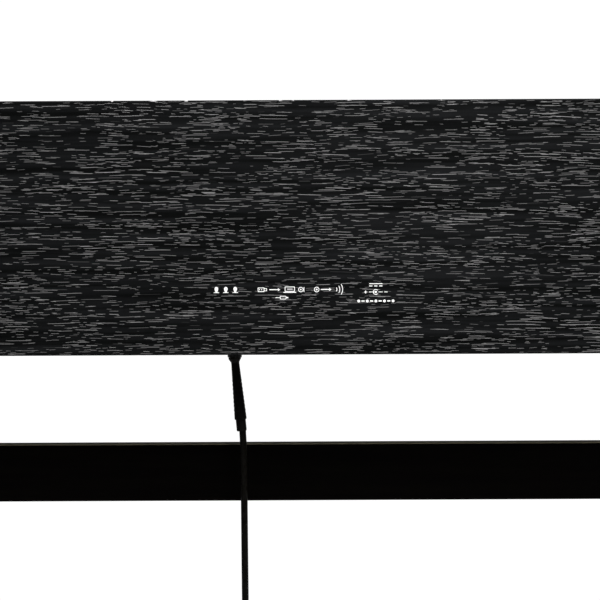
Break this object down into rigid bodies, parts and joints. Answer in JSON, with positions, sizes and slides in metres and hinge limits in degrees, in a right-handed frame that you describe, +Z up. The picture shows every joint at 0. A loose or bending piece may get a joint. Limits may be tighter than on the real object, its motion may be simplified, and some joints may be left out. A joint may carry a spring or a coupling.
{
  "type": "digital piano on stand",
  "caption": "Slim digital piano in a black grained case on a two-panel stand with feet, back rails and a pedal box; hinged keys, pedals, music rest, knob and buttons.",
  "frame": {"origin": "centre of the footprint, on the floor under the feet", "axes": "+X along the keyboard from bass to treble, -Y towards the player, +Z up"},
  "size_m": [1.34, 0.345, 0.7785],
  "materials": {
    "case_laminate": "black open-grain laminate on particle board, satin",
    "rail_laminate": "dark laminate, satin, with a paler cut edge on top",
    "black_plastic": "moulded black ABS, fine spark texture",
    "key_ivory": "moulded white key plastic, polished",
    "key_ebony": "moulded black key plastic, matte",
    "steel_sheet": "galvanised and folded sheet steel",
    "pedal_brass": "polished brass",
    "circuit_board": "solder-masked circuit board",
    "red_felt": "woven red felt",
    "cone_paper": "black paper cone and frame",
    "cord_rubber": "black soft PVC jacket"
  },
  "bodies": {
    "case_and_stand": {"back_panel": "case_laminate", "top_board": "case_laminate", "bottom_board": "case_laminate", "side_panel_left": "case_laminate", "side_panel_right": "case_laminate", "key_slip": "case_laminate", "leg_panel_left": "case_laminate", "leg_panel_right": "case_laminate", "foot_left": "case_laminate", "foot_right": "case_laminate", "rear_rail": "rail_laminate", "pedal_beam": "rail_laminate", "cheek_block_left": "black_plastic", "cheek_block_right": "black_plastic", "control_panel": "black_plastic", "music_ledge": "black_plastic", "jack_plate": "black_plastic", "pedal_jack": "black_plastic", "line_out_jack": "black_plastic", "dc_inlet": "black_plastic", "headphone_jacks": "black_plastic", "pedal_plug": "black_plastic", "pedal_housing": "black_plastic", "keybed_chassis": "steel_sheet", "usb_socket": "steel_sheet", "pedal_axle": "steel_sheet", "pedal_spring_soft": "steel_sheet", "pedal_spring_sostenuto": "steel_sheet", "pedal_spring_damper": "steel_sheet", "main_board": "circuit_board", "contact_board": "circuit_board", "panel_board": "circuit_board", "key_felt": "red_felt", "speaker_left": "cone_paper", "speaker_right": "cone_paper", "pedal_cord": "cord_rubber", "cable_gland": "cord_rubber"},
    "key_c": {"key_c": "key_ivory"},
    "key_d": {"key_d": "key_ivory"},
    "key_e": {"key_e": "key_ivory"},
    "key_f": {"key_f": "key_ivory"},
    "key_g": {"key_g": "key_ivory"},
    "key_a": {"key_a": "key_ivory"},
    "key_b": {"key_b": "key_ivory"},
    "key_c_sharp": {"key_c_sharp": "key_ebony"},
    "key_d_sharp": {"key_d_sharp": "key_ebony"},
    "key_f_sharp": {"key_f_sharp": "key_ebony"},
    "key_g_sharp": {"key_g_sharp": "key_ebony"},
    "key_a_sharp": {"key_a_sharp": "key_ebony"},
    "naturals_bass": {"naturals_bass": "key_ivory"},
    "naturals_treble": {"naturals_treble": "key_ivory"},
    "sharps_bass": {"sharps_bass": "key_ebony"},
    "sharps_treble": {"sharps_treble": "key_ebony"},
    "music_rest": {"music_rest": "black_plastic"},
    "volume_knob": {"volume_knob": "black_plastic"},
    "power_button": {"power_button": "black_plastic"},
    "voice_button": {"voice_button": "black_plastic"},
    "pedal_soft": {"pedal_soft": "pedal_brass"},
    "pedal_sostenuto": {"pedal_sostenuto": "pedal_brass"},
    "pedal_damper": {"pedal_damper": "pedal_brass"}
  },
  "joints": [
    {"name": "key_c_press", "type": "hinge", "parent": "case_and_stand", "child": "key_c", "pos_m": [0, 0.075, 0.7], "axis": [1, 0, 0], "range_deg": [0, 2.6], "stiffness_Nm_per_rad": 0.4, "springref_deg": -28.65},
    {"name": "key_d_press", "type": "hinge", "parent": "case_and_stand", "child": "key_d", "pos_m": [0, 0.075, 0.7], "axis": [1, 0, 0], "range_deg": [0, 2.6], "stiffness_Nm_per_rad": 0.4, "springref_deg": -28.65},
    {"name": "key_e_press", "type": "hinge", "parent": "case_and_stand", "child": "key_e", "pos_m": [0, 0.075, 0.7], "axis": [1, 0, 0], "range_deg": [0, 2.6], "stiffness_Nm_per_rad": 0.4, "springref_deg": -28.65},
    {"name": "key_f_press", "type": "hinge", "parent": "case_and_stand", "child": "key_f", "pos_m": [0, 0.075, 0.7], "axis": [1, 0, 0], "range_deg": [0, 2.6], "stiffness_Nm_per_rad": 0.4, "springref_deg": -28.65},
    {"name": "key_g_press", "type": "hinge", "parent": "case_and_stand", "child": "key_g", "pos_m": [0, 0.075, 0.7], "axis": [1, 0, 0], "range_deg": [0, 2.6], "stiffness_Nm_per_rad": 0.4, "springref_deg": -28.65},
    {"name": "key_a_press", "type": "hinge", "parent": "case_and_stand", "child": "key_a", "pos_m": [0, 0.075, 0.7], "axis": [1, 0, 0], "range_deg": [0, 2.6], "stiffness_Nm_per_rad": 0.4, "springref_deg": -28.65},
    {"name": "key_b_press", "type": "hinge", "parent": "case_and_stand", "child": "key_b", "pos_m": [0, 0.075, 0.7], "axis": [1, 0, 0], "range_deg": [0, 2.6], "stiffness_Nm_per_rad": 0.4, "springref_deg": -28.65},
    {"name": "key_c_sharp_press", "type": "hinge", "parent": "case_and_stand", "child": "key_c_sharp", "pos_m": [0, 0.075, 0.7], "axis": [1, 0, 0], "range_deg": [0, 2.6], "stiffness_Nm_per_rad": 0.3, "springref_deg": -28.65},
    {"name": "key_d_sharp_press", "type": "hinge", "parent": "case_and_stand", "child": "key_d_sharp", "pos_m": [0, 0.075, 0.7], "axis": [1, 0, 0], "range_deg": [0, 2.6], "stiffness_Nm_per_rad": 0.3, "springref_deg": -28.65},
    {"name": "key_f_sharp_press", "type": "hinge", "parent": "case_and_stand", "child": "key_f_sharp", "pos_m": [0, 0.075, 0.7], "axis": [1, 0, 0], "range_deg": [0, 2.6], "stiffness_Nm_per_rad": 0.3, "springref_deg": -28.65},
    {"name": "key_g_sharp_press", "type": "hinge", "parent": "case_and_stand", "child": "key_g_sharp", "pos_m": [0, 0.075, 0.7], "axis": [1, 0, 0], "range_deg": [0, 2.6], "stiffness_Nm_per_rad": 0.3, "springref_deg": -28.65},
    {"name": "key_a_sharp_press", "type": "hinge", "parent": "case_and_stand", "child": "key_a_sharp", "pos_m": [0, 0.075, 0.7], "axis": [1, 0, 0], "range_deg": [0, 2.6], "stiffness_Nm_per_rad": 0.3, "springref_deg": -28.65},
    {"name": "naturals_bass_press", "type": "hinge", "parent": "case_and_stand", "child": "naturals_bass", "pos_m": [0, 0.075, 0.7], "axis": [1, 0, 0], "range_deg": [0, 2.6], "stiffness_Nm_per_rad": 9.2, "springref_deg": -28.65},
    {"name": "naturals_treble_press", "type": "hinge", "parent": "case_and_stand", "child": "naturals_treble", "pos_m": [0, 0.075, 0.7], "axis": [1, 0, 0], "range_deg": [0, 2.6], "stiffness_Nm_per_rad": 8.8, "springref_deg": -28.65},
    {"name": "sharps_bass_press", "type": "hinge", "parent": "case_and_stand", "child": "sharps_bass", "pos_m": [0, 0.075, 0.7], "axis": [1, 0, 0], "range_deg": [0, 2.6], "stiffness_Nm_per_rad": 4.8, "springref_deg": -28.65},
    {"name": "sharps_treble_press", "type": "hinge", "parent": "case_and_stand", "child": "sharps_treble", "pos_m": [0, 0.075, 0.7], "axis": [1, 0, 0], "range_deg": [0, 2.6], "stiffness_Nm_per_rad": 4.5, "springref_deg": -28.65},
    {"name": "pedal_soft_press", "type": "hinge", "parent": "case_and_stand", "child": "pedal_soft", "pos_m": [-0.065, 0.085, 0.07], "axis": [1, 0, 0], "range_deg": [0, 5.5], "stiffness_Nm_per_rad": 8, "springref_deg": -8.59, "deforming": ["pedal_spring_soft"]},
    {"name": "pedal_sostenuto_press", "type": "hinge", "parent": "case_and_stand", "child": "pedal_sostenuto", "pos_m": [0, 0.085, 0.07], "axis": [1, 0, 0], "range_deg": [0, 5.5], "stiffness_Nm_per_rad": 8, "springref_deg": -8.59, "deforming": ["pedal_spring_sostenuto"]},
    {"name": "pedal_damper_press", "type": "hinge", "parent": "case_and_stand", "child": "pedal_damper", "pos_m": [0.065, 0.085, 0.07], "axis": [1, 0, 0], "range_deg": [0, 5.5], "stiffness_Nm_per_rad": 8, "springref_deg": -8.59, "deforming": ["pedal_spring_damper"]},
    {"name": "music_rest_fold", "type": "hinge", "parent": "case_and_stand", "child": "music_rest", "pos_m": [0, 0.047, 0.7745], "axis": [1, 0, 0], "range_deg": [0, 70]},
    {"name": "volume_turn", "type": "hinge", "parent": "case_and_stand", "child": "volume_knob", "pos_m": [-0.57, 0.01575, 0.7485], "axis": [0, -0.8652, 0.5014], "range_deg": [-150, 150]},
    {"name": "power_button_press", "type": "slide", "parent": "case_and_stand", "child": "power_button", "axis": [0, 0.8652, -0.5014], "range_m": [0, 0.0015], "stiffness_N_per_m": 100, "springref_m": -0.004},
    {"name": "voice_button_press", "type": "slide", "parent": "case_and_stand", "child": "voice_button", "axis": [0, 0.8652, -0.5014], "range_m": [0, 0.0015], "stiffness_N_per_m": 100, "springref_m": -0.004}
  ]
}
